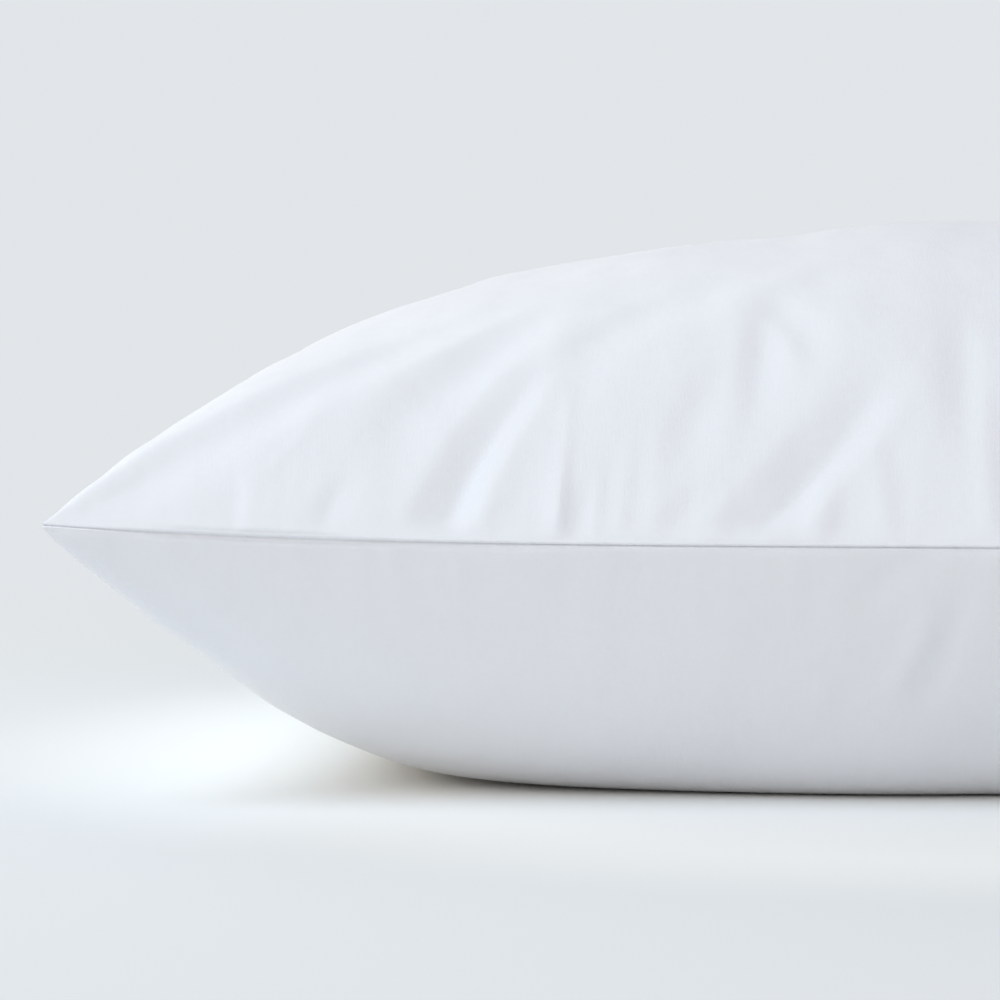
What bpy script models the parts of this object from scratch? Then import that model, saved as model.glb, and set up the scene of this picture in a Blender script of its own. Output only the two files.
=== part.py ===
"""A filled cotton pillowcase, 50 x 75 cm when flat, lying on its back face.

X runs along the long sides, Y away from the viewer and Z up, in metres. The
origin is under the middle, on the surface that the pillowcase rests on. The
closed short end is at -X and the mouth at +X.

The cloth is one filled solid. Each face is a grid of points (u, v), both from
-1 to 1: u along the long sides and v across them, with the seam at the rim.
"""

import math
from typing import NamedTuple

import bmesh
import bpy
from mathutils import Vector

# Outline in plan. The corners reach furthest, and the sides draw in between them.
LENGTH = 0.709  # corner to corner along a long side
WIDTH = 0.465  # corner to corner across
END_DRAW_IN = 0.016  # how far a short side draws in at its middle
SIDE_DRAW_IN = 0.019  # how far a long side draws in at its middle
DRAW_IN_CURVE = 2.0  # 2 is a plain arc

# The knife-edge seam and the groove between the two folded edges of cloth.
SEAM_HEIGHT = 0.091
CORNER_LIFT_CURVE = 4.0  # how close to the corner the lift begins
GROOVE_WIDTH = 0.0014
GROOVE_DEPTH = 0.0025
MOUTH_GROOVE_DEPTH = 0.006
LOWER_EDGE_PROUD = 0.0006  # the lower cloth's edge stands out under the upper one

# How each face swells. A point's rise depends on how far it is from the seams.
UPPER_RISE = 0.109
UPPER_RAMP = 0.113
UPPER_CURVE = 1.75
UPPER_CORNER = 1.53
LOWER_DROP = 0.182
LOWER_RAMP = 0.1135
LOWER_CURVE = 1.13
LOWER_CORNER = 1.31

# Where the lower face meets the surface, it turns flat over this height.
REST_ROUNDING = 0.066
REST_INSIDE = 0.25  # of that height again, hidden below, where it becomes flat
FLAT_UNDER = 0.001  # what would be closer to the surface than this lies on it
FOLD_CLEARANCE = 0.020  # the lower face's folds die out over this height

# Folds start a little way in from the seam, which stays a clean line.
FOLD_START = 0.003
FOLD_BEGINS = 0.25  # share of a fold's length over which it begins
FOLD_ENDS = 0.70  # and over which it dies out
NORMAL_STEP = 0.002  # in u and v, to find which way a face looks

# Grid of each face, with more columns where the closer folds are.
COLUMNS = 96
ROWS = 30
COLUMN_LEAN = 0.16  # how far the columns crowd towards the closed end
FLAT_TOLERANCE = 1e-7
MERGE_DISTANCE = 1e-5
SHARP_ANGLE = math.radians(40)

WHITE_COTTON = (0.87, 0.89, 0.94, 1.0)
COTTON_ROUGHNESS = 0.85

UPPER = 1
LOWER = -1


class Section(NamedTuple):
    """How full the case is at one place along its length, in even steps."""

    along: float  # u
    upper: float  # factor on the upper face's rise
    lower: float  # factor on the lower face's drop


class Corner(NamedTuple):
    """A corner of the case, which the pull of the filled cloth lifts."""

    end: int
    side: int
    lift: float


class Fold(NamedTuple):
    """A soft trough or ridge, from one place in plan to another."""

    from_x: float
    from_y: float
    to_x: float
    to_y: float
    width: float
    rise: float  # below zero for a trough


SECTIONS = (
    Section(-1.00, 1.050, 0.960),
    Section(-0.75, 0.948, 0.993),
    Section(-0.50, 0.986, 1.038),
    Section(-0.25, 1.043, 1.061),
    Section(0.00, 1.034, 0.986),
    Section(0.25, 1.024, 1.010),
    Section(0.50, 0.992, 1.024),
    Section(0.75, 0.962, 0.990),
    Section(1.00, 1.030, 0.970),
)

CORNERS = (
    Corner(-1, -1, 0.0070),
    Corner(-1, 1, 0.0050),
    Corner(1, -1, 0.0040),
    Corner(1, 1, 0.0080),
)

UPPER_FOLDS = (
    # Near long side, from the closed end to the mouth.
    Fold(-0.335, -0.224, -0.185, -0.095, 0.024, -0.0026),
    Fold(-0.262, -0.222, -0.185, -0.122, 0.028, -0.0032),
    Fold(-0.223, -0.219, -0.186, -0.154, 0.026, -0.0044),
    Fold(-0.184, -0.219, -0.184, -0.166, 0.012, 0.0020),
    Fold(-0.190, -0.187, -0.134, -0.123, 0.026, -0.0022),
    Fold(-0.122, -0.198, -0.119, -0.132, 0.020, -0.0028),
    Fold(-0.118, -0.215, -0.070, -0.158, 0.026, -0.0046),
    Fold(-0.050, -0.213, -0.053, -0.138, 0.016, -0.0022),
    Fold(-0.041, -0.213, -0.045, -0.165, 0.012, 0.0014),
    Fold(-0.028, -0.212, -0.036, -0.165, 0.014, -0.0020),
    Fold(0.020, -0.212, 0.054, -0.150, 0.024, -0.0032),
    Fold(0.050, -0.211, 0.078, -0.165, 0.020, 0.0020),
    Fold(0.131, -0.214, 0.118, -0.150, 0.026, -0.0030),
    Fold(0.196, -0.216, 0.150, -0.152, 0.024, 0.0020),
    Fold(0.222, -0.218, 0.182, -0.160, 0.026, -0.0034),
    Fold(0.338, -0.222, 0.218, -0.120, 0.030, -0.0030),
    Fold(0.300, -0.222, 0.225, -0.165, 0.024, 0.0022),
    # Far long side, from the closed end to the mouth.
    Fold(-0.338, 0.222, -0.230, 0.126, 0.028, -0.0028),
    Fold(-0.292, 0.220, -0.214, 0.158, 0.022, 0.0020),
    Fold(-0.226, 0.216, -0.178, 0.150, 0.022, -0.0034),
    Fold(-0.150, 0.214, -0.132, 0.160, 0.018, 0.0018),
    Fold(-0.112, 0.213, -0.112, 0.146, 0.020, -0.0028),
    Fold(-0.020, 0.212, -0.040, 0.142, 0.026, -0.0032),
    Fold(0.012, 0.212, -0.008, 0.160, 0.022, 0.0020),
    Fold(0.092, 0.214, 0.070, 0.148, 0.026, -0.0028),
    Fold(0.186, 0.216, 0.140, 0.140, 0.028, -0.0036),
    Fold(0.232, 0.218, 0.176, 0.156, 0.024, 0.0022),
    Fold(0.332, 0.222, 0.226, 0.130, 0.030, -0.0030),
    # Closed end.
    Fold(-0.340, -0.120, -0.262, -0.064, 0.022, -0.0024),
    Fold(-0.338, -0.030, -0.264, 0.002, 0.026, -0.0030),
    Fold(-0.338, 0.020, -0.276, 0.034, 0.020, 0.0018),
    Fold(-0.338, 0.104, -0.258, 0.066, 0.024, -0.0028),
    # Mouth.
    Fold(0.338, -0.118, 0.270, -0.062, 0.026, -0.0030),
    Fold(0.338, -0.046, 0.284, -0.022, 0.022, 0.0018),
    Fold(0.338, 0.030, 0.262, 0.012, 0.028, -0.0032),
    Fold(0.338, 0.122, 0.272, 0.076, 0.026, -0.0026),
    # Broad hollows and swells of the filling over the crown.
    Fold(-0.150, -0.020, -0.060, 0.110, 0.090, -0.0030),
    Fold(0.060, -0.080, 0.200, 0.020, 0.100, -0.0028),
    Fold(0.060, 0.120, 0.200, 0.080, 0.080, 0.0022),
)

LOWER_FOLDS = (
    # Near long side, from the closed end to the mouth.
    Fold(-0.335, -0.222, -0.262, -0.160, 0.026, -0.0018),
    Fold(-0.300, -0.221, -0.256, -0.178, 0.020, 0.0014),
    Fold(-0.112, -0.206, -0.086, -0.172, 0.022, 0.0010),
    Fold(-0.048, -0.208, -0.080, -0.168, 0.016, -0.0020),
    Fold(-0.040, -0.210, -0.052, -0.176, 0.014, 0.0016),
    Fold(0.062, -0.210, 0.050, -0.164, 0.024, -0.0022),
    Fold(0.150, -0.212, 0.164, -0.166, 0.026, 0.0018),
    Fold(0.226, -0.214, 0.200, -0.166, 0.026, -0.0026),
    Fold(0.334, -0.220, 0.262, -0.162, 0.030, -0.0028),
    # Far long side, from the closed end to the mouth.
    Fold(-0.330, 0.218, -0.262, 0.164, 0.030, -0.0026),
    Fold(-0.196, 0.214, -0.176, 0.166, 0.026, -0.0024),
    Fold(-0.092, 0.212, -0.100, 0.168, 0.024, 0.0018),
    Fold(0.022, 0.212, 0.006, 0.166, 0.026, -0.0024),
    Fold(0.136, 0.212, 0.150, 0.166, 0.026, -0.0022),
    Fold(0.334, 0.220, 0.258, 0.158, 0.030, -0.0028),
    # Closed end and mouth.
    Fold(-0.336, -0.070, -0.282, -0.052, 0.026, -0.0022),
    Fold(-0.336, 0.048, -0.280, 0.040, 0.026, -0.0024),
    Fold(0.336, -0.064, 0.284, -0.050, 0.026, -0.0024),
    Fold(0.336, 0.056, 0.282, 0.052, 0.028, -0.0026),
)


def clear_scene():
    for old in list(bpy.data.objects):
        bpy.data.objects.remove(old, do_unlink=True)


def half_length(v):
    """Half the length in plan at v, where a short side has drawn in."""
    return LENGTH / 2 - END_DRAW_IN * (1 - abs(v) ** DRAW_IN_CURVE)


def half_width(u):
    """Half the width in plan at u, where a long side has drawn in."""
    return WIDTH / 2 - SIDE_DRAW_IN * (1 - abs(u) ** DRAW_IN_CURVE)


def fullness(u, face):
    """Blend one face's fullness smoothly from section to section."""
    values = [row.upper if face == UPPER else row.lower for row in SECTIONS]
    step = SECTIONS[1].along - SECTIONS[0].along
    place = (u - SECTIONS[0].along) / step
    index = min(int(place), len(values) - 2)
    t = place - index
    start, end = values[index], values[index + 1]
    before = values[max(index - 1, 0)]
    after = values[min(index + 2, len(values) - 1)]
    straight = start + (end - start) * (3 * t**2 - 2 * t**3)
    leaving = (end - before) / 2 * (t**3 - 2 * t**2 + t)
    arriving = (after - start) / 2 * (t**3 - t**2)
    return straight + leaving + arriving


def seam_height(u, v):
    """Height of the seam, which the pull of the cloth lifts at the corners."""
    height = SEAM_HEIGHT
    for corner in CORNERS:
        nearness = max(corner.end * u, 0) * max(corner.side * v, 0)
        height += corner.lift * nearness**CORNER_LIFT_CURVE
    return height


def seam_distance(u, v, corner):
    """Distance from the seams in plan, near them. A low corner value fills the corners less."""
    from_end = half_length(v) * (1 - u * u) / 2
    from_side = half_width(u) * (1 - v * v) / 2
    if min(from_end, from_side) <= 0:
        return 0.0
    return (from_end**-corner + from_side**-corner) ** (-1 / corner)


def swell(distance, ramp, curve):
    """From 0 at the seam to 1 at the ramp's end, steep at first."""
    return 1 - (1 - min(distance / ramp, 1)) ** curve


def rest(height):
    """Turn a height that would dip below the surface into one that lies flat on it."""
    below = REST_ROUNDING * REST_INSIDE
    if height >= REST_ROUNDING:
        return height
    if height <= -below:
        return 0.0
    t = (height + below) / (REST_ROUNDING + below)
    return REST_ROUNDING * (3 * t**2 - 2 * t**3) + (REST_ROUNDING + below) * (t**3 - t**2)


def smooth_point(u, v, face):
    """A point of a face before its folds."""
    height = seam_height(u, v)
    if face == UPPER:
        distance = seam_distance(u, v, UPPER_CORNER)
        height += UPPER_RISE * fullness(u, face) * swell(distance, UPPER_RAMP, UPPER_CURVE)
    else:
        distance = seam_distance(u, v, LOWER_CORNER)
        height -= LOWER_DROP * fullness(u, face) * swell(distance, LOWER_RAMP, LOWER_CURVE)
        height = rest(height)
    return Vector((u * half_length(v), v * half_width(u), height))


def outward(u, v, face):
    """Unit vector out of a face."""
    back_u, front_u = max(u - NORMAL_STEP, -1), min(u + NORMAL_STEP, 1)
    back_v, front_v = max(v - NORMAL_STEP, -1), min(v + NORMAL_STEP, 1)
    along = smooth_point(front_u, v, face) - smooth_point(back_u, v, face)
    across = smooth_point(u, front_v, face) - smooth_point(u, back_v, face)
    return along.cross(across).normalized() * face


def ease(t):
    """From 0 at t = 0 to 1 at t = 1, with a gentle start and end."""
    t = max(0.0, min(1.0, t))
    return t * t * (3 - 2 * t)


def fold_rise(fold, x, y):
    """Rise of one fold at a place in plan. It begins sharply and dies out gently."""
    run_x, run_y = fold.to_x - fold.from_x, fold.to_y - fold.from_y
    length = math.hypot(run_x, run_y)
    t = ((x - fold.from_x) * run_x + (y - fold.from_y) * run_y) / length**2
    if not 0 < t < 1:
        return 0.0
    aside = ((x - fold.from_x) * run_y - (y - fold.from_y) * run_x) / length
    along = ease(t / FOLD_BEGINS) * ease((1 - t) / FOLD_ENDS)
    return fold.rise * along * math.exp(-((2 * aside / fold.width) ** 2))


def face_point(u, v, face):
    """A point of a face with its folds."""
    point = smooth_point(u, v, face)
    folds = UPPER_FOLDS if face == UPPER else LOWER_FOLDS
    rise = sum(fold_rise(fold, point.x, point.y) for fold in folds)
    rise *= 1 - math.exp(-seam_distance(u, v, UPPER_CORNER) / FOLD_START)
    if face == LOWER:
        rise *= min(point.z / FOLD_CLEARANCE, 1)
    if rise:
        point += outward(u, v, face) * rise
    if face == LOWER and point.z < FLAT_UNDER:
        point.z = 0.0
    return point + part_edges(u, v, face)


def part_edges(u, v, face):
    """Part the two folded edges at the seam, the lower one a little proud."""
    if max(abs(u), abs(v)) < 1:
        return Vector()
    offset = Vector((0, 0, face * GROOVE_WIDTH / 2))
    if face == LOWER:
        offset += LOWER_EDGE_PROUD * out_of_rim(u, v)
    return offset


def out_of_rim(u, v):
    """Direction in plan straight out of the rim, or out of a corner along both sides."""
    return Vector((int(u), int(v), 0))


def groove_point(u, v):
    """Bottom of the groove behind a point of the rim."""
    depth = MOUTH_GROOVE_DEPTH if u == 1 and abs(v) < 1 else GROOVE_DEPTH
    rim = Vector((u * half_length(v), v * half_width(u), seam_height(u, v)))
    return rim - depth * out_of_rim(u, v)


def crowd_columns(t):
    """Spread columns over -1 to 1, closer near the ends and over the closed half."""
    leaned = t - COLUMN_LEAN * (1 - t * t)
    return (math.sin(math.pi / 2 * leaned) + leaned) / 2


def crowd_rows(t):
    """Spread rows over -1 to 1, closer near the long sides."""
    return math.sin(math.pi / 2 * t)


def add_face(bm, face, u_layer, v_layer):
    """Add one face of the case and turn its rim in to the bottom of the groove."""
    verts = set(bmesh.ops.create_grid(bm, x_segments=COLUMNS, y_segments=ROWS, size=1.0)["verts"])
    for vert in verts:
        u, v = crowd_columns(vert.co.x), crowd_rows(vert.co.y)
        vert[u_layer], vert[v_layer] = u, v
        vert.co = face_point(u, v, face)
    rim = [edge for edge in bm.edges if edge.is_boundary and edge.verts[0] in verts]
    turned = bmesh.ops.extrude_edge_only(bm, edges=rim)
    for vert in turned["geom"]:
        if isinstance(vert, bmesh.types.BMVert):
            vert.co = groove_point(vert[u_layer], vert[v_layer])


def face_out(bm):
    """Turn every polygon to look out of the solid."""
    bmesh.ops.recalc_face_normals(bm, faces=bm.faces[:])
    if bm.calc_volume(signed=True) < 0:
        bmesh.ops.reverse_faces(bm, faces=bm.faces[:])


def join_flat_faces(bm):
    """Make the part of the lower face that rests on the surface one flat face."""
    flat = [f for f in bm.faces if all(abs(vert.co.z) < FLAT_TOLERANCE for vert in f.verts)]
    bmesh.ops.dissolve_faces(bm, faces=flat, use_verts=True)


def cotton():
    material = bpy.data.materials.new("white_cotton")
    material.use_nodes = True
    shader = material.node_tree.nodes["Principled BSDF"]
    shader.inputs["Base Color"].default_value = WHITE_COTTON
    shader.inputs["Roughness"].default_value = COTTON_ROUGHNESS
    shader.inputs["Metallic"].default_value = 0.0
    return material


def make_pillowcase():
    bm = bmesh.new()
    u_layer = bm.verts.layers.float.new("u")
    v_layer = bm.verts.layers.float.new("v")
    for face in (UPPER, LOWER):
        add_face(bm, face, u_layer, v_layer)
    bmesh.ops.remove_doubles(bm, verts=bm.verts[:], dist=MERGE_DISTANCE)
    face_out(bm)
    join_flat_faces(bm)
    bm.verts.layers.float.remove(bm.verts.layers.float["v"])
    bm.verts.layers.float.remove(bm.verts.layers.float["u"])
    mesh = bpy.data.meshes.new("pillowcase")
    bm.to_mesh(mesh)
    bm.free()
    mesh.shade_smooth()
    mesh.set_sharp_from_angle(angle=SHARP_ANGLE)
    mesh.materials.append(cotton())
    pillowcase = bpy.data.objects.new("pillowcase", mesh)
    bpy.context.collection.objects.link(pillowcase)
    return pillowcase


clear_scene()
make_pillowcase()
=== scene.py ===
"""The looks of a filled white cotton pillowcase, lying on its back face.

Metres, with X along the long sides, Y away from the camera and Z up. The origin
is under the middle of the case, on the surface that it rests on. The closed
short end is at -X and the mouth at +X. Each face of the case is a grid of
points (u, v), both from -1 to 1: u along the long sides and v across them.
"""

import math
from typing import NamedTuple

import bpy
import numpy as np
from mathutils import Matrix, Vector


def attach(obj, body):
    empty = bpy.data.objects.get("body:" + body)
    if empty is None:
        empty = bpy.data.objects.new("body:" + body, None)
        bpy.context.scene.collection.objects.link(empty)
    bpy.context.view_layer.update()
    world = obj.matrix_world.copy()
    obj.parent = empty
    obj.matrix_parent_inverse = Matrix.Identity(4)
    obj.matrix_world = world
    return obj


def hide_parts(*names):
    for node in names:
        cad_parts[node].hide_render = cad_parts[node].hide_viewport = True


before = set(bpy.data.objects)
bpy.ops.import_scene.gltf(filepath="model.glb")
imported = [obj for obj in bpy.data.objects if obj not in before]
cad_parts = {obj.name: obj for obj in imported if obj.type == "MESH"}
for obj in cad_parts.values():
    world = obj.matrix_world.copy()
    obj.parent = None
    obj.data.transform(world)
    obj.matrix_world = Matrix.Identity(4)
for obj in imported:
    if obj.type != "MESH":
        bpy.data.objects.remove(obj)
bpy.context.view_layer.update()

BODY = "root"

# ---------------------------------------------------------------- camera

# The camera is level with the case and looks along its long side from the front.
CAMERA_DISTANCE = 2.2
CAMERA_ELEVATION = math.radians(4)
NEAR_SIDE = -0.2325  # the plane of the near seam, on which the view is centred
VIEW_CENTRE = Vector((-0.2018, NEAR_SIDE, 0.1073))
LENS = 241.1  # mm, for a frame 1000 pixels wide and high
SENSOR = 36.0  # mm

# ---------------------------------------------------------------- the case's form

LENGTH = 0.709  # corner to corner along a long side
WIDTH = 0.465  # corner to corner across
END_DRAW_IN = 0.016
SIDE_DRAW_IN = 0.019
DRAW_IN_CURVE = 2.0

SEAM_HEIGHT = 0.091
CORNER_LIFT_CURVE = 4.0

UPPER_RISE = 0.109
UPPER_RAMP = 0.113
UPPER_CURVE = 1.75
UPPER_CORNER = 1.53
LOWER_DROP = 0.182
LOWER_RAMP = 0.1135
LOWER_CURVE = 1.13
LOWER_CORNER = 1.31
REST_ROUNDING_ENDS = 0.066
REST_ROUNDING_SIDES = 0.024  # the long sides stand more firmly on the surface
REST_INSIDE = 0.25
FOLD_CLEARANCE = 0.020

# A seam fold is at its full depth a little way in from the seam, which stays a
# clean line. The shares are of a fold's own length.
FOLD_START = 0.0025
SEAM_FOLD_BEGINS = 0.10
SEAM_FOLD_ENDS = 0.75
INSET_FOLD_BEGINS = 0.40
INSET_FOLD_ENDS = 0.45
FOLD_NARROWS = 0.25  # share of its width that a fold loses on its way
CREASE_ROUNDING = 0.0006
CREASE_CURVE = 1.2  # 1 has straight flanks, more is closer to a cusp

# The fine grid of each face: closer columns where the close folds are, and
# closer rows by the long sides.
COLUMNS = 342
ROWS = 128
COLUMN_LEAN = 0.16
COLUMN_CROWD = 0.35
ROW_CROWD = 0.75

UPPER = 1
LOWER = -1


class Section(NamedTuple):
    """How full the case is at one place along its length, in even steps."""

    along: float  # u
    upper: float
    lower: float


class Corner(NamedTuple):
    """A corner of the case, which the pull of the filled cloth lifts."""

    end: int
    side: int
    lift: float


class Fold(NamedTuple):
    """A trough or ridge of the cloth, set out from one edge of the case."""

    place: float  # where it starts along the edge: x on a long side, y on a short end
    inset: float  # how far in from the seam it starts
    reach: float  # its length
    lean: float  # degrees from square to the edge, positive towards +X or +Y
    bow: float  # how far its middle bows the same way
    low_side: float  # width of its flank towards -X or -Y
    high_side: float  # width of its flank towards +X or +Y
    rise: float  # below zero for a trough
    crease: float  # 1 is a sharp crease, 0 a soft roll


SECTIONS = (
    Section(-1.00, 1.050, 0.960),
    Section(-0.75, 0.948, 0.993),
    Section(-0.50, 0.986, 1.038),
    Section(-0.25, 1.043, 1.061),
    Section(0.00, 1.034, 0.986),
    Section(0.25, 1.024, 1.010),
    Section(0.50, 0.992, 1.024),
    Section(0.75, 0.962, 0.990),
    Section(1.00, 1.030, 0.970),
)

CORNERS = (
    Corner(-1, -1, 0.0070),
    Corner(-1, 1, 0.0050),
    Corner(1, -1, 0.0040),
    Corner(1, 1, 0.0080),
)

# Folds of the upper face. Most are drawn up by the seam and die out inwards.
UPPER_NEAR_FOLDS = (
    Fold(-0.341, 0.000, 0.060, 47, 0.000, 0.010, 0.014, -0.0014, 0.3),
    Fold(-0.339, 0.000, 0.200, 49, 0.004, 0.014, 0.020, -0.0030, 0.1),
    Fold(-0.292, 0.000, 0.022, -8, 0.001, 0.012, 0.005, -0.0007, 0.3),
    Fold(-0.288, 0.010, 0.033, 45, 0.000, 0.003, 0.004, 0.0005, 0.6),
    Fold(-0.264, 0.000, 0.024, 30, 0.000, 0.007, 0.008, -0.0017, 0.8),
    Fold(-0.257, 0.010, 0.115, 38, 0.000, 0.016, 0.020, -0.0034, 0.3),
    Fold(-0.224, 0.000, 0.075, 30, 0.000, 0.013, 0.010, -0.0050, 0.9),
    Fold(-0.214, 0.000, 0.040, 22, 0.000, 0.004, 0.013, 0.0016, 0.3),
    Fold(-0.190, 0.033, 0.085, 41, -0.011, 0.012, 0.020, -0.0016, 0.3),
    Fold(-0.184, 0.000, 0.055, 0, 0.001, 0.003, 0.003, 0.0007, 1.0),
    Fold(-0.184, 0.000, 0.024, 0, 0.000, 0.008, 0.003, 0.0015, 1.0),
    Fold(-0.177, 0.000, 0.020, 6, 0.000, 0.004, 0.005, -0.0012, 0.9),
    Fold(-0.168, 0.000, 0.026, 0, 0.000, 0.003, 0.004, -0.0005, 0.4),
    Fold(-0.160, 0.000, 0.034, 4, 0.001, 0.004, 0.006, -0.0006, 0.3),
    Fold(-0.152, 0.008, 0.056, 28, 0.001, 0.012, 0.014, -0.0014, 0.4),
    Fold(-0.149, 0.000, 0.024, 45, 0.000, 0.007, 0.011, -0.0014, 0.6),
    Fold(-0.143, 0.060, 0.080, 34, 0.000, 0.018, 0.016, 0.0010, 0.2),
    Fold(-0.123, 0.018, 0.066, 3, 0.002, 0.010, 0.013, -0.0026, 0.8),
    Fold(-0.122, 0.000, 0.072, 41, 0.008, 0.016, 0.011, -0.0054, 0.9),
    Fold(-0.100, 0.000, 0.025, 30, -0.002, 0.005, 0.007, 0.0008, 0.3),
    Fold(-0.096, 0.044, 0.050, -30, 0.000, 0.007, 0.012, -0.0016, 0.6),
    Fold(-0.090, 0.000, 0.021, 10, 0.000, 0.006, 0.011, -0.0011, 0.8),
    Fold(-0.077, 0.000, 0.018, -3, 0.001, 0.006, 0.008, 0.0006, 0.2),
    Fold(-0.070, 0.004, 0.025, -15, 0.000, 0.005, 0.009, -0.0006, 0.3),
    Fold(-0.050, 0.014, 0.062, -2, 0.000, 0.012, 0.009, -0.0018, 0.4),
    Fold(-0.041, 0.000, 0.046, -5, 0.000, 0.007, 0.005, 0.0011, 0.3),
    Fold(-0.028, 0.000, 0.045, -10, 0.000, 0.008, 0.008, -0.0020, 0.7),
    Fold(-0.006, 0.000, 0.030, 12, 0.000, 0.006, 0.007, -0.0010, 0.6),
    Fold(0.020, 0.000, 0.085, 28, 0.003, 0.012, 0.009, -0.0030, 0.8),
    Fold(0.044, 0.000, 0.040, 32, 0.000, 0.008, 0.006, 0.0012, 0.5),
    Fold(0.058, 0.000, 0.024, 15, 0.000, 0.006, 0.005, -0.0012, 0.8),
    Fold(0.084, 0.000, 0.034, 0, 0.001, 0.007, 0.006, -0.0014, 0.5),
    Fold(0.098, 0.000, 0.026, -8, 0.000, 0.005, 0.005, 0.0008, 0.6),
    Fold(0.131, 0.000, 0.080, -13, -0.003, 0.010, 0.012, -0.0028, 0.9),
    Fold(0.160, 0.000, 0.028, -20, 0.000, 0.006, 0.007, -0.0013, 0.7),
    Fold(0.196, 0.000, 0.050, -32, 0.000, 0.008, 0.008, 0.0012, 0.4),
    Fold(0.222, 0.000, 0.085, -33, 0.002, 0.010, 0.013, -0.0032, 0.9),
    Fold(0.248, 0.000, 0.025, -25, 0.000, 0.006, 0.006, -0.0012, 0.8),
    Fold(0.279, 0.006, 0.095, -48, 0.000, 0.010, 0.010, -0.0018, 0.4),
    Fold(0.300, 0.000, 0.030, -20, 0.000, 0.006, 0.006, -0.0012, 0.6),
    Fold(0.338, 0.000, 0.175, -47, -0.008, 0.012, 0.012, -0.0026, 0.4),
    # Two broad hollows in the crown.
    Fold(-0.150, 0.200, 0.160, 35, 0.000, 0.060, 0.060, -0.0030, 0.0),
    Fold(0.060, 0.135, 0.170, 55, 0.000, 0.070, 0.070, -0.0028, 0.0),
)

UPPER_FAR_FOLDS = (
    Fold(-0.338, 0.000, 0.160, 47, 0.008, 0.012, 0.012, -0.0024, 0.4),
    Fold(-0.306, 0.000, 0.026, 10, 0.000, 0.006, 0.006, -0.0011, 0.6),
    Fold(-0.278, 0.008, 0.090, 45, 0.000, 0.009, 0.010, -0.0018, 0.4),
    Fold(-0.252, 0.000, 0.024, 20, 0.000, 0.006, 0.005, -0.0013, 0.8),
    Fold(-0.226, 0.000, 0.090, 34, 0.003, 0.011, 0.009, -0.0032, 1.0),
    Fold(-0.196, 0.000, 0.036, 25, 0.000, 0.006, 0.006, 0.0011, 0.5),
    Fold(-0.180, 0.000, 0.022, 5, 0.000, 0.005, 0.005, -0.0011, 0.8),
    Fold(-0.150, 0.000, 0.050, 16, 0.000, 0.007, 0.008, 0.0013, 0.5),
    Fold(-0.112, 0.000, 0.080, 0, -0.003, 0.010, 0.008, -0.0026, 0.8),
    Fold(-0.088, 0.000, 0.026, -6, 0.000, 0.006, 0.006, -0.0012, 0.7),
    Fold(-0.060, 0.000, 0.030, 8, 0.000, 0.007, 0.006, -0.0010, 0.5),
    Fold(-0.020, 0.000, 0.085, -15, 0.002, 0.010, 0.012, -0.0030, 0.9),
    Fold(0.006, 0.000, 0.042, -18, 0.000, 0.007, 0.007, 0.0012, 0.3),
    Fold(0.022, 0.000, 0.022, -5, 0.000, 0.005, 0.006, -0.0012, 0.8),
    Fold(0.056, 0.000, 0.034, 10, 0.000, 0.006, 0.007, -0.0011, 0.5),
    Fold(0.092, 0.000, 0.080, -18, 0.002, 0.012, 0.010, -0.0026, 0.8),
    Fold(0.124, 0.000, 0.024, -12, 0.000, 0.006, 0.005, -0.0012, 0.8),
    Fold(0.154, 0.006, 0.060, -30, 0.000, 0.008, 0.008, -0.0013, 0.4),
    Fold(0.186, 0.000, 0.100, -31, -0.004, 0.011, 0.013, -0.0033, 1.0),
    Fold(0.214, 0.000, 0.032, -25, 0.000, 0.006, 0.006, 0.0010, 0.5),
    Fold(0.238, 0.000, 0.026, -15, 0.000, 0.006, 0.006, -0.0013, 0.8),
    Fold(0.276, 0.000, 0.070, -40, 0.000, 0.009, 0.009, -0.0016, 0.5),
    Fold(0.332, 0.000, 0.155, -47, -0.006, 0.012, 0.014, -0.0028, 0.5),
    # A broad swell in the crown.
    Fold(0.060, 0.095, 0.145, 74, 0.000, 0.055, 0.055, 0.0022, 0.0),
)

UPPER_CLOSED_END_FOLDS = (
    Fold(-0.160, 0.000, 0.034, 25, 0.000, 0.007, 0.007, -0.0012, 0.6),
    Fold(-0.120, 0.000, 0.110, 34, 0.002, 0.010, 0.012, -0.0022, 0.6),
    Fold(-0.078, 0.000, 0.030, 15, 0.000, 0.006, 0.007, -0.0011, 0.7),
    Fold(-0.030, 0.000, 0.092, 22, 0.002, 0.012, 0.012, -0.0027, 0.7),
    Fold(0.020, 0.000, 0.060, 12, 0.000, 0.009, 0.009, 0.0013, 0.3),
    Fold(0.052, 0.000, 0.028, -5, 0.000, 0.006, 0.006, -0.0012, 0.7),
    Fold(0.104, 0.000, 0.100, -25, -0.002, 0.011, 0.011, -0.0025, 0.6),
    Fold(0.152, 0.000, 0.036, -30, 0.000, 0.007, 0.007, -0.0012, 0.6),
)

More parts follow.
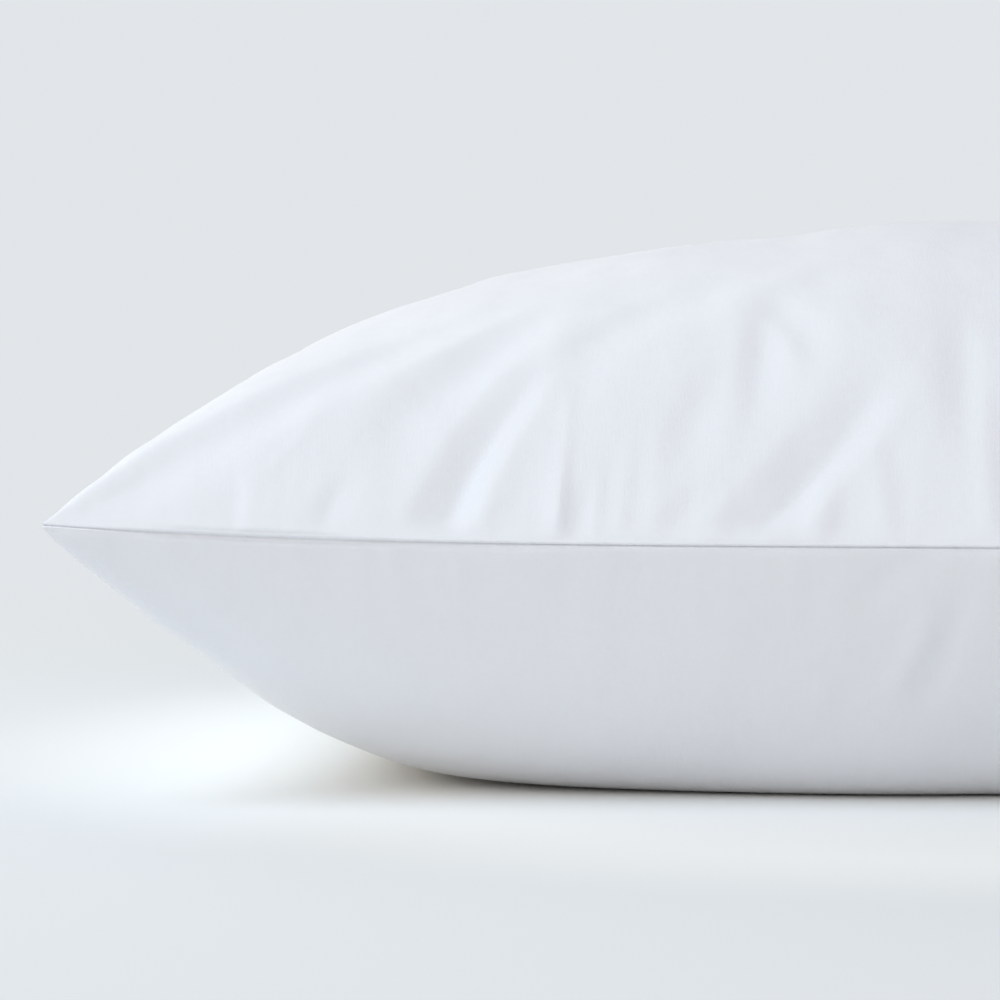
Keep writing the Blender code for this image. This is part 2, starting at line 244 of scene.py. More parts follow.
UPPER_MOUTH_FOLDS = (
    Fold(-0.156, 0.000, 0.038, 30, 0.000, 0.007, 0.007, -0.0013, 0.6),
    Fold(-0.118, 0.000, 0.100, 38, 0.002, 0.011, 0.012, -0.0027, 0.6),
    Fold(-0.074, 0.000, 0.032, 10, 0.000, 0.006, 0.006, -0.0012, 0.7),
    Fold(-0.046, 0.000, 0.060, 20, 0.000, 0.010, 0.010, 0.0014, 0.2),
    Fold(-0.010, 0.000, 0.030, 0, 0.000, 0.007, 0.006, -0.0012, 0.7),
    Fold(0.030, 0.000, 0.090, -13, -0.002, 0.013, 0.012, -0.0028, 0.7),
    Fold(0.080, 0.000, 0.034, -15, 0.000, 0.007, 0.007, -0.0012, 0.6),
    Fold(0.122, 0.000, 0.094, -34, 0.002, 0.012, 0.012, -0.0024, 0.6),
)

# Folds of the lower face, which is drawn tight over the filling.
LOWER_NEAR_FOLDS = (
    Fold(-0.335, 0.000, 0.095, 50, 0.000, 0.012, 0.012, -0.0012, 0.3),
    Fold(-0.092, 0.025, 0.024, -33, 0.000, 0.007, 0.005, 0.0006, 0.3),
    Fold(-0.066, 0.000, 0.034, -58, 0.000, 0.005, 0.006, -0.0009, 0.4),
    Fold(-0.058, 0.006, 0.043, -37, 0.003, 0.007, 0.006, 0.0009, 0.2),
    Fold(-0.048, 0.004, 0.043, -33, 0.003, 0.008, 0.006, -0.0020, 0.5),
    Fold(0.062, 0.000, 0.055, -15, 0.001, 0.011, 0.011, -0.0018, 0.6),
    Fold(0.150, 0.000, 0.055, 16, 0.000, 0.010, 0.010, 0.0012, 0.2),
    Fold(0.226, 0.000, 0.062, -27, 0.002, 0.012, 0.012, -0.0022, 0.7),
    Fold(0.334, 0.000, 0.104, -49, 0.000, 0.014, 0.014, -0.0024, 0.4),
)

LOWER_FAR_FOLDS = (
    Fold(-0.330, 0.000, 0.098, 49, 0.000, 0.014, 0.014, -0.0022, 0.4),
    Fold(-0.196, 0.000, 0.060, 21, 0.001, 0.012, 0.012, -0.0022, 0.7),
    Fold(-0.092, 0.000, 0.052, -11, 0.000, 0.010, 0.010, 0.0014, 0.2),
    Fold(0.022, 0.000, 0.056, -18, 0.001, 0.012, 0.012, -0.0022, 0.6),
    Fold(0.136, 0.000, 0.056, 17, 0.002, 0.012, 0.012, -0.0020, 0.6),
    Fold(0.334, 0.000, 0.108, -49, 0.000, 0.014, 0.014, -0.0024, 0.4),
)

LOWER_CLOSED_END_FOLDS = (
    Fold(-0.070, 0.000, 0.066, 17, 0.001, 0.012, 0.012, -0.0020, 0.6),
    Fold(0.048, 0.000, 0.066, -9, 0.000, 0.012, 0.012, -0.0022, 0.6),
)

LOWER_MOUTH_FOLDS = (
    Fold(-0.064, 0.000, 0.064, 15, 0.001, 0.012, 0.012, -0.0022, 0.6),
    Fold(0.056, 0.000, 0.064, -5, 0.000, 0.013, 0.013, -0.0024, 0.6),
)

# ---------------------------------------------------------------- the seam

# Two rolled edges of cloth part a little over the sewn line, all round the rim. Away
# from the corner the upper edge overhangs the lower one and throws a soft shade on it.
ROLL_TURN = math.radians(31)  # where a face runs into its rolled edge
UNDER_TURN = math.radians(-80)  # where the rolled edge runs in to the sewn line
ROLL_STEPS = 4
MOUTH_DEPTH = 0.0045
ROLL_FADE = 0.006  # over which a face rises to its rolled edge


class SeamLine(NamedTuple):
    """The seam at one place along the near long side."""

    place: float  # x
    upper_radius: float  # of the upper rolled edge
    lower_radius: float
    gap: float  # between the two edges
    set_back: float  # of the lower edge, under the upper one
    depth: float  # in to the sewn line


NEAR_SEAM = (
    SeamLine(-0.355, 0.0005, 0.0005, 0.0003, 0.0000, 0.0008),
    SeamLine(-0.340, 0.0005, 0.0005, 0.0004, 0.0001, 0.0010),
    SeamLine(-0.325, 0.0006, 0.0004, 0.0009, 0.0009, 0.0017),
    SeamLine(-0.310, 0.0007, 0.0004, 0.0014, 0.0014, 0.0022),
    SeamLine(-0.262, 0.0007, 0.0004, 0.0014, 0.0014, 0.0022),
    SeamLine(-0.225, 0.0006, 0.0004, 0.0011, 0.0011, 0.0020),
    SeamLine(-0.180, 0.0006, 0.0004, 0.0008, 0.0007, 0.0018),
    SeamLine(0.355, 0.0006, 0.0004, 0.0008, 0.0007, 0.0018),
)
OTHER_SEAM = SeamLine(0.0, 0.0005, 0.0004, 0.0006, 0.0004, 0.0018)

# Small puckers that the sewing draws up along the seam.
PUCKER_REACH = 0.011  # how far in from the seam
PUCKER_HEIGHT = 0.00020
PUCKER_LENGTHS = (0.009, 0.014, 0.021, 0.033)
PUCKER_DRIFT = 0.35  # share of its length by which a pucker wanders
PUCKER_DRIFT_RATE = 0.83  # radians of that wandering in one length

# Slight unevenness of the filling and of cotton that has been pressed and handled.
LUMP_HEIGHT = 0.0007
LUMP_SIZE = 0.085
HANDLED_HEIGHT = 0.00016
HANDLED_SIZE = 0.024
WAVES = 14
WAVE_SIZES = (0.7, 1.6)  # shares of the size, from the shortest wave to the longest
SEED = 7

TINY = 1e-9  # keeps a divisor from being zero

# ---------------------------------------------------------------- colours

COTTON_LIGHT = (0.90, 0.915, 0.955, 1.0)
COTTON_DARK = (0.87, 0.885, 0.93, 1.0)
BACKDROP = (0.760, 0.789, 0.817, 1.0)  # what the camera sees behind the case
FLOOR_PAINTED_LIGHT = (0.945, 0.955, 0.95, 1.0)  # round the case, a painted pool of light
FLOOR_FAR = (0.79, 0.815, 0.835, 1.0)


def half_length(v):
    return LENGTH / 2 - END_DRAW_IN * (1 - np.abs(v) ** DRAW_IN_CURVE)


def half_width(u):
    return WIDTH / 2 - SIDE_DRAW_IN * (1 - np.abs(u) ** DRAW_IN_CURVE)


def fullness(u, face):
    """Blend one face's fullness smoothly from section to section."""
    values = np.array([row.upper if face == UPPER else row.lower for row in SECTIONS])
    step = SECTIONS[1].along - SECTIONS[0].along
    place = (u - SECTIONS[0].along) / step
    index = np.clip(place.astype(int), 0, len(values) - 2)
    t = place - index
    start, end = values[index], values[index + 1]
    before = values[np.maximum(index - 1, 0)]
    after = values[np.minimum(index + 2, len(values) - 1)]
    straight = start + (end - start) * (3 * t**2 - 2 * t**3)
    leaving = (end - before) / 2 * (t**3 - 2 * t**2 + t)
    arriving = (after - start) / 2 * (t**3 - t**2)
    return straight + leaving + arriving


def seam_height(u, v):
    height = np.full_like(u, SEAM_HEIGHT)
    for corner in CORNERS:
        nearness = np.maximum(corner.end * u, 0) * np.maximum(corner.side * v, 0)
        height += corner.lift * nearness**CORNER_LIFT_CURVE
    return height


def seam_distance(u, v, corner):
    """Distance from the seams in plan, near them. A low corner value fills the corners less."""
    from_end = np.maximum(half_length(v) * (1 - u * u) / 2, TINY)
    from_side = np.maximum(half_width(u) * (1 - v * v) / 2, TINY)
    return (from_end**-corner + from_side**-corner) ** (-1 / corner)


def swell(distance, ramp, curve):
    return 1 - (1 - np.minimum(distance / ramp, 1)) ** curve


def rest_rounding(u, v):
    """Height over which the lower face turns flat, from the ends round to the long sides."""
    from_end = half_length(v) * (1 - u * u)
    from_side = half_width(u) * (1 - v * v)
    side = from_end**2 / (from_end**2 + from_side**2 + TINY)
    return REST_ROUNDING_ENDS + (REST_ROUNDING_SIDES - REST_ROUNDING_ENDS) * side


def rest(height, rounding):
    """Turn a height that would dip below the surface into one that lies flat on it."""
    below = rounding * REST_INSIDE
    t = np.clip((height + below) / (rounding + below), 0, 1)
    turned = rounding * (3 * t**2 - 2 * t**3) + (rounding + below) * (t**3 - t**2)
    return np.where(height >= rounding, height, turned)


def smooth_face(u, v, face):
    """Points of a face before its folds, in an array with x, y and z last."""
    height = seam_height(u, v)
    if face == UPPER:
        distance = seam_distance(u, v, UPPER_CORNER)
        height = height + UPPER_RISE * fullness(u, face) * swell(distance, UPPER_RAMP, UPPER_CURVE)
    else:
        distance = seam_distance(u, v, LOWER_CORNER)
        height = height - LOWER_DROP * fullness(u, face) * swell(distance, LOWER_RAMP, LOWER_CURVE)
        height = rest(height, rest_rounding(u, v))
    return np.stack([u * half_length(v), v * half_width(u), height], axis=-1)


def outward(points, u, v, face):
    """Unit vectors out of a face, from its neighbouring points."""
    along = np.gradient(points, u[:, 0], axis=0)
    across = np.gradient(points, v[0, :], axis=1)
    normal = np.cross(along, across) * face
    return normal / np.maximum(np.linalg.norm(normal, axis=-1, keepdims=True), 1e-12)


def ease(t):
    t = np.clip(t, 0, 1)
    return t * t * (3 - 2 * t)


def fold_rise(fold, along_edge, inward):
    """Rise of one fold, from places along its edge and distances in from it."""
    lean = math.radians(fold.lean)
    beside, beyond = along_edge - fold.place, inward - fold.inset
    if fold.inset:
        t = (beside * math.sin(lean) + beyond * math.cos(lean)) / fold.reach
    else:
        t = beyond / (fold.reach * math.cos(lean))
    aside = beside * math.cos(lean) - beyond * math.sin(lean) - fold.bow * 4 * t * (1 - t)
    flank = np.where(aside < 0, fold.low_side, fold.high_side) * (1 - FOLD_NARROWS * t)
    share = np.clip((np.hypot(aside, CREASE_ROUNDING) - CREASE_ROUNDING) / flank, 0, 1)
    creased = (1 - share) ** CREASE_CURVE
    rolled = (1 + np.cos(math.pi * share)) / 2
    across = fold.crease * creased + (1 - fold.crease) * rolled
    begins = INSET_FOLD_BEGINS if fold.inset else SEAM_FOLD_BEGINS
    ends = INSET_FOLD_ENDS if fold.inset else SEAM_FOLD_ENDS
    along = ease(t / begins) * ease((1 - t) / ends)
    return fold.rise * along * across * ((t > 0) & (t < 1))


def all_folds(u, v, face):
    """Rise of all the folds of a face, from all four edges."""
    x, y = u * half_length(v), v * half_width(u)
    upper = face == UPPER
    edges = (
        (UPPER_NEAR_FOLDS if upper else LOWER_NEAR_FOLDS, x, half_width(u) * (1 + v)),
        (UPPER_FAR_FOLDS if upper else LOWER_FAR_FOLDS, x, half_width(u) * (1 - v)),
        (UPPER_CLOSED_END_FOLDS if upper else LOWER_CLOSED_END_FOLDS, y, half_length(v) * (1 + u)),
        (UPPER_MOUTH_FOLDS if upper else LOWER_MOUTH_FOLDS, y, half_length(v) * (1 - u)),
    )
    return sum(fold_rise(fold, along, inward) for folds, along, inward in edges for fold in folds)


def waves(x, y, size, rng):
    """Smooth unevenness between about -1 and 1, from a few waves in all directions."""
    total = np.zeros_like(x)
    for _ in range(WAVES):
        angle = rng.uniform(0, math.tau)
        rate = math.tau / (size * rng.uniform(*WAVE_SIZES))
        run = rate * (x * math.cos(angle) + y * math.sin(angle))
        total += np.sin(run + rng.uniform(0, math.tau))
    return total / math.sqrt(WAVES)


def puckers(points, u, v, rng):
    """Small puckers along the seams, which fade towards the middle of the face."""
    total = np.zeros_like(u)
    for lengthways in (True, False):
        place = points[..., 0] if lengthways else points[..., 1]
        inward = half_width(u) * (1 - np.abs(v)) if lengthways else half_length(v) * (1 - np.abs(u))
        side = np.sign(v if lengthways else u)
        near = np.exp(-inward / PUCKER_REACH) * (1 - np.exp(-inward / FOLD_START))
        for length in PUCKER_LENGTHS:
            turn = place / length * PUCKER_DRIFT_RATE + rng.uniform(0, math.tau) * side
            drift = length * PUCKER_DRIFT * np.sin(turn)
            start = rng.uniform(0, math.tau) * side
            total += near * np.sin((place + drift) * math.tau / length + start)
    return total * PUCKER_HEIGHT / len(PUCKER_LENGTHS) * 2


def spread(count, lean, crowd):
    """Places from -1 to 1 that crowd towards both ends, and with lean towards the first."""
    t = np.linspace(-1, 1, count + 1)
    t = t - lean * (1 - t * t)
    return (1 - crowd) * t + crowd * np.sin(math.pi / 2 * t)


def seam_line(x, y, column):
    """One measure of the seam, by its column's name, at places on the rim."""
    places = [row.place for row in NEAR_SEAM]
    values = [getattr(row, column) for row in NEAR_SEAM]
    return np.where(y < -WIDTH / 4, np.interp(x, places, values), getattr(OTHER_SEAM, column))


def face_grid(u, v, face):
    """All points of one face with its folds, in an array with x, y and z last."""
    rng = np.random.default_rng(SEED + face)
    points = smooth_face(u, v, face)
    normal = outward(points, u, v, face)
    x, y = points[..., 0], points[..., 1]
    rise = all_folds(u, v, face)
    distance = seam_distance(u, v, UPPER_CORNER)
    away = 1 - np.exp(-distance / FOLD_START)
    rise = rise + LUMP_HEIGHT * waves(x, y, LUMP_SIZE, rng)
    rise = rise + HANDLED_HEIGHT * waves(x, y, HANDLED_SIZE, rng)
    rise = rise * away + puckers(points, u, v, rng)
    # The face rises to meet its rolled edge.
    meet = seam_line(x, y, "gap") / 2
    radius = seam_line(x, y, "upper_radius" if face == UPPER else "lower_radius")
    meet += radius * (1 + math.sin(ROLL_TURN) - math.cos(ROLL_TURN))
    if face == LOWER:
        meet -= seam_line(x, y, "set_back") * math.cos(ROLL_TURN)
    rise = rise + meet * np.exp(-((distance / ROLL_FADE) ** 2))
    if face == LOWER:
        rise = rise * np.minimum(points[..., 2] / FOLD_CLEARANCE, 1)
    return points + normal * rise[..., None]


def rim_walk(columns, rows):
    """Grid places (column, row) once round the rim, against the clock from above."""
    walk = [(i, 0) for i in range(columns)]
    walk += [(columns, j) for j in range(rows)]
    walk += [(i, rows) for i in range(columns, 0, -1)]
    walk += [(0, j) for j in range(rows, 0, -1)]
    return np.array(walk)


def rim_outward(rim):
    """Direction in plan straight out of the rim at each of its points."""
    run = np.roll(rim, -1, axis=0) - np.roll(rim, 1, axis=0)
    out = np.stack([run[:, 1], -run[:, 0], np.zeros(len(rim))], axis=-1)
    return out / np.linalg.norm(out, axis=-1, keepdims=True)


def seam_rings(rim, out, at_mouth):
    """Rings of points over the upper rolled edge, in to the sewn line and over the lower edge."""
    upper_radius, lower_radius, gap, set_back, depth = (
        seam_line(rim[:, 0], rim[:, 1], column)[:, None] for column in SeamLine._fields[1:]
    )
    up = np.array([0.0, 0.0, 1.0])

    def rolled(turn, side):
        radius = upper_radius if side == UPPER else lower_radius
        inward = radius * (1 - math.cos(turn)) + (set_back if side == LOWER else 0)
        rise = radius * (math.sin(turn) + 1) + gap / 2
        return rim - inward * out + side * rise * up

    turns = np.linspace(ROLL_TURN, UNDER_TURN, ROLL_STEPS + 1)
    sewn_line = rim - np.where(at_mouth[:, None], MOUTH_DEPTH, depth) * out
    return [rolled(t, UPPER) for t in turns], [sewn_line], [rolled(t, LOWER) for t in turns[::-1]]


def thread_lengths(points, axis):
    """Length of cloth from the middle of the face to each point, along the grid."""
    steps = np.linalg.norm(np.diff(points, axis=axis), axis=-1)
    start = np.zeros_like(np.take(steps, [0], axis=axis))
    lengths = np.concatenate([start, np.cumsum(steps, axis=axis)], axis=axis)
    return lengths - np.take(lengths, [points.shape[axis] // 2], axis=axis)


def quads(index):
    """Four-cornered faces between the neighbours of a grid of vertex numbers."""
    corners = (index[:-1, :-1], index[1:, :-1], index[1:, 1:], index[:-1, 1:])
    return np.stack(corners, axis=-1).reshape(-1, 4)


def make_case():
    """The whole case as one closed mesh: upper face, seam and lower face."""
    u, v = np.meshgrid(
        spread(COLUMNS, COLUMN_LEAN, COLUMN_CROWD), spread(ROWS, 0.0, ROW_CROWD), indexing="ij"
    )
    walk = rim_walk(COLUMNS, ROWS)
    rim = smooth_face(u, v, UPPER)[walk[:, 0], walk[:, 1]]
    at_mouth = (walk[:, 0] == COLUMNS) & (walk[:, 1] > 0) & (walk[:, 1] < ROWS)
    upper_rings, valley, lower_rings = seam_rings(rim, rim_outward(rim), at_mouth)
    upper, lower = face_grid(u, v, UPPER), face_grid(u, v, LOWER)
    upper[walk[:, 0], walk[:, 1]] = upper_rings[0]
    lower[walk[:, 0], walk[:, 1]] = lower_rings[-1]

    count = upper.shape[0] * upper.shape[1]
    upper_index = np.arange(count).reshape(upper.shape[:2])
    lower_index = upper_index + count
    rings = upper_rings[1:] + valley + lower_rings[:-1]
    ring_index = 2 * count + np.arange(len(rings) * len(walk)).reshape(len(rings), len(walk))
    band = np.vstack([
        upper_index[walk[:, 0], walk[:, 1]],
        ring_index,
        lower_index[walk[:, 0], walk[:, 1]],
    ])
    band = np.hstack([band, band[:, :1]])
    faces = np.vstack([quads(upper_index), quads(lower_index)[:, ::-1], quads(band)])
    places = np.vstack([upper.reshape(-1, 3), lower.reshape(-1, 3), np.vstack(rings)])

    # Thread lengths along and across the cloth, for the weave.
    threads = [
        np.stack([thread_lengths(points, 0), thread_lengths(points, 1)], axis=-1)
        for points in (upper, lower)
    ]
    on_rim = threads[0][walk[:, 0], walk[:, 1]]
    on_faces = [lengths.reshape(-1, 2) for lengths in threads]
    thread = np.vstack(on_faces + [on_rim] * len(rings))
    return places, faces, thread


def mesh_object(name, places, faces):
    mesh = bpy.data.meshes.new(name)
    mesh.from_pydata(places.tolist(), [], faces.tolist())
    mesh.validate()
    mesh.shade_smooth()
    piece = bpy.data.objects.new(name, mesh)
    bpy.context.collection.objects.link(piece)
    return piece


# ---------------------------------------------------------------- materials

WEAVE_PITCH = 0.00045
WEAVE_RELIEF = 0.00005
SLUB_THICKNESS = 0.0009
SLUB_LENGTH = 0.016
SLUB_OFFSET = 7.0  # parts the slubs of one set of threads from those of the other
SLUB_RELIEF = 0.00010
CRUMPLE_RELIEF = 0.00045
CRUMPLE_SCALE = 95.0  # of noise, per metre
PRESSED_SCALE = 9.0
LEAST_ROUGHNESS = 0.74
ROUGHNESS_SPREAD = 0.12
SLUB_TONE = 0.6  # the slubs' share of the cloth's tone, and the pressing's
PRESSED_TONE = 0.4


def socket(tree, name, kind, outward_going, default=None):
    made = tree.interface.new_socket(
        name=name, in_out="OUTPUT" if outward_going else "INPUT", socket_type=kind
    )
    if default is not None:
        made.default_value = default


def maths(tree, operation, *values):
    """A Math node on numbers or sockets. Returns its output."""
    node = tree.nodes.new("ShaderNodeMath")
    node.operation = operation
    for index, value in enumerate(values):
        if isinstance(value, (int, float)):
            node.inputs[index].default_value = value
        else:
            tree.links.new(value, node.inputs[index])
    return node.outputs[0]


def noise(tree, vector, scale, detail=2.0, roughness=0.5):
    node = tree.nodes.new("ShaderNodeTexNoise")
    node.inputs["Scale"].default_value = scale
    node.inputs["Detail"].default_value = detail
    node.inputs["Roughness"].default_value = roughness
    tree.links.new(vector, node.inputs["Vector"])
    return node.outputs[0]


def plain_weave():
    """Group: threads over and under each other, uneven in thickness, from thread lengths."""
    tree = bpy.data.node_groups.new("plain weave", "ShaderNodeTree")
    socket(tree, "Thread", "NodeSocketVector", False)
    socket(tree, "Pitch", "NodeSocketFloat", False, WEAVE_PITCH)
    socket(tree, "Height", "NodeSocketFloat", True)
    socket(tree, "Slub", "NodeSocketFloat", True)
    source = tree.nodes.new("NodeGroupInput")
    result = tree.nodes.new("NodeGroupOutput")
    split = tree.nodes.new("ShaderNodeSeparateXYZ")
    tree.links.new(source.outputs["Thread"], split.inputs[0])
    across = maths(tree, "DIVIDE", split.outputs["X"], source.outputs["Pitch"])
    along = maths(tree, "DIVIDE", split.outputs["Y"], source.outputs["Pitch"])
    warp = maths(tree, "ABSOLUTE", maths(tree, "SINE", maths(tree, "MULTIPLY", across, math.pi)))
    weft = maths(tree, "ABSOLUTE", maths(tree, "SINE", maths(tree, "MULTIPLY", along, math.pi)))
    cells = maths(tree, "ADD", maths(tree, "FLOOR", across), maths(tree, "FLOOR", along))
    over = maths(tree, "MODULO", maths(tree, "ABSOLUTE", cells), 2.0)
    under = maths(tree, "SUBTRACT", 1.0, over)
    warp_top = maths(tree, "MULTIPLY", over, maths(tree, "MULTIPLY_ADD", weft, 0.5, 0.5))
    weft_top = maths(tree, "MULTIPLY", under, maths(tree, "MULTIPLY_ADD", warp, 0.5, 0.5))
    warp_height = maths(tree, "MULTIPLY", warp, warp_top)
    weft_height = maths(tree, "MULTIPLY", weft, weft_top)
    woven = maths(tree, "ADD", warp_height, weft_height)
    # A slub is a thicker stretch of one thread, long one way and a thread wide the other.
    stretched = []
    for slub_size, offset in (
        ((SLUB_THICKNESS, SLUB_LENGTH), 0.0),
        ((SLUB_LENGTH, SLUB_THICKNESS), SLUB_OFFSET),
    ):
        scaled = tree.nodes.new("ShaderNodeVectorMath")
        scaled.operation = "MULTIPLY"
        scaled.inputs[1].default_value = (1 / slub_size[0], 1 / slub_size[1], 1.0)
        tree.links.new(source.outputs["Thread"], scaled.inputs[0])
        moved = tree.nodes.new("ShaderNodeVectorMath")
        moved.operation = "ADD"
        moved.inputs[1].default_value = (0.0, 0.0, offset)
        tree.links.new(scaled.outputs[0], moved.inputs[0])
        stretched.append(noise(tree, moved.outputs[0], 1.0, 1.0))
    slub = maths(tree, "MULTIPLY", maths(tree, "ADD", *stretched), 0.5)
    tree.links.new(woven, result.inputs["Height"])
    tree.links.new(slub, result.inputs["Slub"])
    return tree


def principled(name, colour, roughness):
    material = bpy.data.materials.new(name)
    material.use_nodes = True
    shader = material.node_tree.nodes["Principled BSDF"]
    shader.inputs["Base Color"].default_value = colour
    shader.inputs["Roughness"].default_value = roughness
    shader.inputs["Metallic"].default_value = 0.0
    shader.inputs["IOR"].default_value = 1.45
    return material, material.node_tree, shader


def white_cotton():
    """Crisp plain-woven cotton: weave, slubs, a little handling and a faint sheen."""
    material, tree, shader = principled("white cotton", COTTON_LIGHT, 0.8)
    shader.inputs["Sheen Weight"].default_value = 0.12
    shader.inputs["Sheen Roughness"].default_value = 0.45
    shader.inputs["Specular IOR Level"].default_value = 0.35
    thread = tree.nodes.new("ShaderNodeAttribute")
    thread.attribute_name = "thread"
    weave = tree.nodes.new("ShaderNodeGroup")
    weave.node_tree = bpy.data.node_groups.get("plain weave") or plain_weave()
    weave.inputs["Pitch"].default_value = WEAVE_PITCH
    tree.links.new(thread.outputs["Vector"], weave.inputs["Thread"])
    place = tree.nodes.new("ShaderNodeTexCoord").outputs["Object"]
    crumple = noise(tree, place, CRUMPLE_SCALE, 3.0, 0.45)
    pressed = noise(tree, place, PRESSED_SCALE, 2.0)

    height = maths(tree, "MULTIPLY", weave.outputs["Height"], WEAVE_RELIEF)
    height = maths(tree, "MULTIPLY_ADD", weave.outputs["Slub"], SLUB_RELIEF, height)
    height = maths(tree, "MULTIPLY_ADD", crumple, CRUMPLE_RELIEF, height)
    bump = tree.nodes.new("ShaderNodeBump")
    bump.inputs["Strength"].default_value = 1.0
    bump.inputs["Distance"].default_value = 1.0
    tree.links.new(height, bump.inputs["Height"])
    tree.links.new(bump.outputs["Normal"], shader.inputs["Normal"])

    pressed_tone = maths(tree, "MULTIPLY", pressed, PRESSED_TONE)
    tone = maths(tree, "MULTIPLY_ADD", weave.outputs["Slub"], SLUB_TONE, pressed_tone)
    colour = tree.nodes.new("ShaderNodeMix")
    colour.data_type = "RGBA"
    tree.links.new(tone, colour.inputs["Factor"])
    colour.inputs["A"].default_value = COTTON_DARK
    colour.inputs["B"].default_value = COTTON_LIGHT
    tree.links.new(colour.outputs["Result"], shader.inputs["Base Color"])
    rough = maths(tree, "MULTIPLY_ADD", pressed, ROUGHNESS_SPREAD, LEAST_ROUGHNESS)
    tree.links.new(rough, shader.inputs["Roughness"])
    return material


# ---------------------------------------------------------------- floor, light and camera

FLOOR_SIZE = 60.0
FLOOR_DROP = 0.0003
FLOOR_PLAIN_WITHIN = 0.35  # the floor melts into the backdrop between these distances
FLOOR_GONE_BEYOND = 1.0
FLOOR_PAINTED_LIGHT_FROM = 0.30  # the floor's colour is painted palest round the case, a painted pool of the light that the case throws back on it
FLOOR_PAINTED_LIGHT_TO = 0.45
WORLD_LIGHT = (1.0, 0.953, 0.91, 1.0)
WORLD_STRENGTH = 0.64


def backdrop_world():
    """Even light from all round, and a plain backdrop where the camera sees past the floor."""
    world = bpy.data.worlds.new("studio")
    bpy.context.scene.world = world
    world.use_nodes = True
    tree = world.node_tree
    tree.nodes.clear()
    light = tree.nodes.new("ShaderNodeBackground")
    light.inputs["Color"].default_value = WORLD_LIGHT
    light.inputs["Strength"].default_value = WORLD_STRENGTH
    seen = tree.nodes.new("ShaderNodeBackground")
    seen.inputs["Color"].default_value = BACKDROP
    mix = tree.nodes.new("ShaderNodeMixShader")
    path = tree.nodes.new("ShaderNodeLightPath")
    tree.links.new(path.outputs["Is Camera Ray"], mix.inputs["Fac"])
    tree.links.new(light.outputs[0], mix.inputs[1])
    tree.links.new(seen.outputs[0], mix.inputs[2])
    tree.links.new(mix.outputs[0], tree.nodes.new("ShaderNodeOutputWorld").inputs["Surface"])


def distance_fade(tree, start, end):
    """From 0 within one distance of the origin to 1 beyond another."""
    length = tree.nodes.new("ShaderNodeVectorMath")
    length.operation = "LENGTH"
    tree.links.new(tree.nodes.new("ShaderNodeTexCoord").outputs["Object"], length.inputs[0])
    fade = tree.nodes.new("ShaderNodeMapRange")
    fade.interpolation_type = "SMOOTHSTEP"
    fade.inputs["From Min"].default_value = start
    fade.inputs["From Max"].default_value = end
    tree.links.new(length.outputs["Value"], fade.inputs["Value"])
    return fade.outputs[0]


def pale_floor():
    """A pale floor that melts into the backdrop far from the case, with a pool of light painted
    into its colour round the case.
    """
    half = FLOOR_SIZE / 2
    corners = np.array([(-half, -half), (half, -half), (half, half), (-half, half)])
    places = np.hstack([corners, np.full((4, 1), -FLOOR_DROP)])
    floor = mesh_object("floor", places, np.array([[0, 1, 2, 3]]))
    material, tree, shader = principled("pale floor", FLOOR_FAR, 0.9)
    # Painted light: the floor's colour is paler near the case, standing in for the light that falls
    # there.
    pale = distance_fade(tree, FLOOR_PAINTED_LIGHT_FROM, FLOOR_PAINTED_LIGHT_TO)
    colour = tree.nodes.new("ShaderNodeMix")
    colour.data_type = "RGBA"
    colour.inputs["A"].default_value = FLOOR_PAINTED_LIGHT
    colour.inputs["B"].default_value = FLOOR_FAR
    tree.links.new(pale, colour.inputs["Factor"])
    tree.links.new(colour.outputs["Result"], shader.inputs["Base Color"])
    fade = distance_fade(tree, FLOOR_PLAIN_WITHIN, FLOOR_GONE_BEYOND)
    glow = tree.nodes.new("ShaderNodeEmission")
    glow.inputs["Color"].default_value = BACKDROP
    mix = tree.nodes.new("ShaderNodeMixShader")
    tree.links.new(fade, mix.inputs["Fac"])
    tree.links.new(shader.outputs[0], mix.inputs[1])
    tree.links.new(glow.outputs[0], mix.inputs[2])
    tree.links.new(mix.outputs[0], tree.nodes["Material Output"].inputs["Surface"])
    floor.data.materials.append(material)


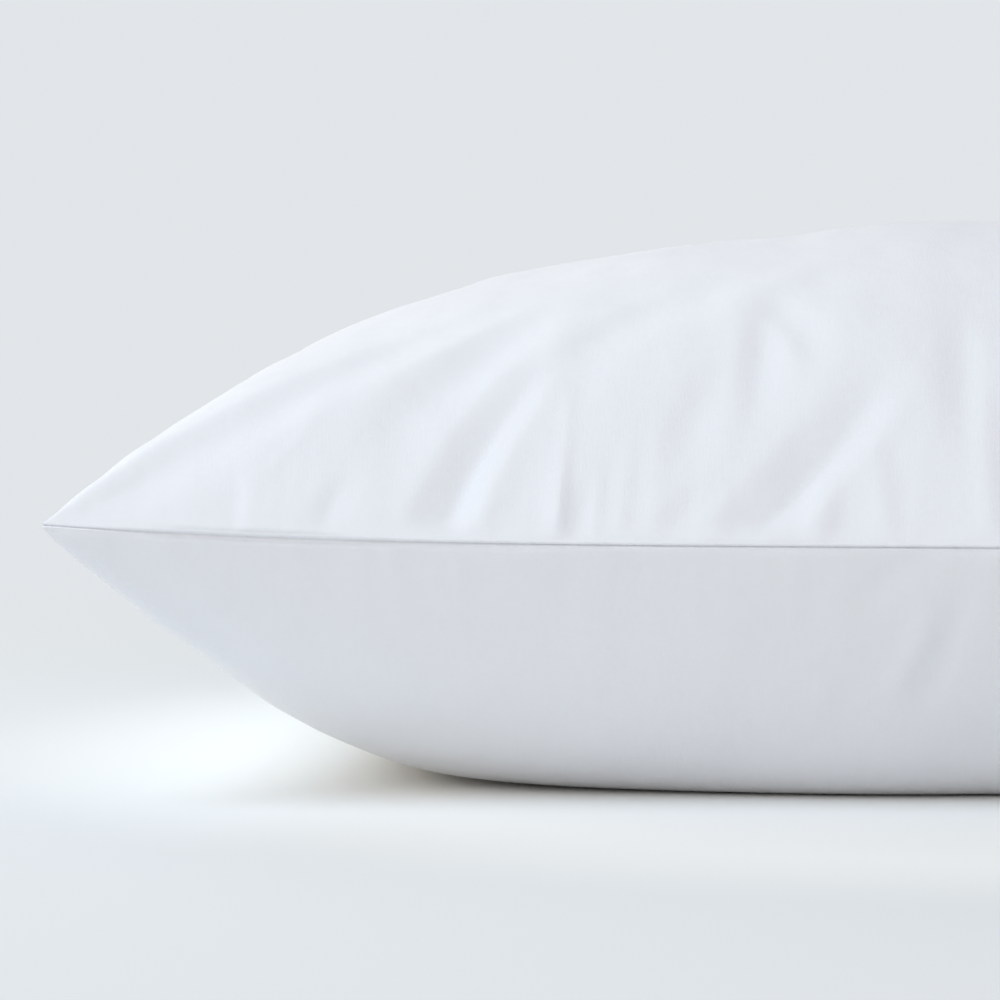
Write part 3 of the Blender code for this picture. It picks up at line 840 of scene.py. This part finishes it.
class Lamp(NamedTuple):
    """A soft square light, aimed at the case."""

    name: str
    place: tuple
    size: float
    power: float
    colour: tuple


LAMP_AIM = Vector((-0.1, 0.0, 0.1))
LAMPS = (
    Lamp("back left", (-1.2, 1.2, 1.2), 1.0, 5.5, (0.60, 0.83, 1.0)),
    Lamp("low left", (-1.5, 0.35, 0.25), 0.7, 5.0, (1.0, 0.88, 0.65)),
    Lamp("front left", (-1.6, -1.6, 0.8), 1.0, 5.0, (1.0, 0.95, 0.84)),
    Lamp("top front", (-1.1, -1.0, 1.5), 0.8, 12.5, (0.66, 0.83, 1.0)),
)


def studio_lamps():
    for lamp in LAMPS:
        light = bpy.data.lights.new(lamp.name, "AREA")
        light.size = lamp.size
        light.energy = lamp.power
        light.color = lamp.colour
        holder = bpy.data.objects.new(lamp.name, light)
        holder.location = lamp.place
        look = LAMP_AIM - Vector(lamp.place)
        holder.rotation_euler = look.to_track_quat("-Z", "Y").to_euler()
        bpy.context.collection.objects.link(holder)


def camera():
    data = bpy.data.cameras.new("camera")
    data.lens = LENS
    data.sensor_width = SENSOR
    data.clip_end = 100.0
    holder = bpy.data.objects.new("camera", data)
    back = CAMERA_DISTANCE * math.cos(CAMERA_ELEVATION)
    up = CAMERA_DISTANCE * math.sin(CAMERA_ELEVATION)
    holder.location = (0.0, NEAR_SIDE - back, VIEW_CENTRE.z + up)
    look = VIEW_CENTRE - holder.location
    holder.rotation_euler = look.to_track_quat("-Z", "Y").to_euler()
    bpy.context.collection.objects.link(holder)
    bpy.context.scene.camera = holder


def make_pillowcase():
    places, faces, thread = make_case()
    piece = mesh_object("pillowcase_cloth", places, faces)
    attribute = piece.data.attributes.new("thread", "FLOAT_VECTOR", "POINT")
    flat = np.hstack([thread, np.zeros((len(thread), 1))])
    attribute.data.foreach_set("vector", flat.astype(np.float32).ravel())
    piece.data.materials.append(white_cotton())
    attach(piece, BODY)
    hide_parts("pillowcase")
    return piece


camera()
backdrop_world()
pale_floor()
studio_lamps()
bpy.context.scene.view_settings.view_transform = "Standard"
make_pillowcase()
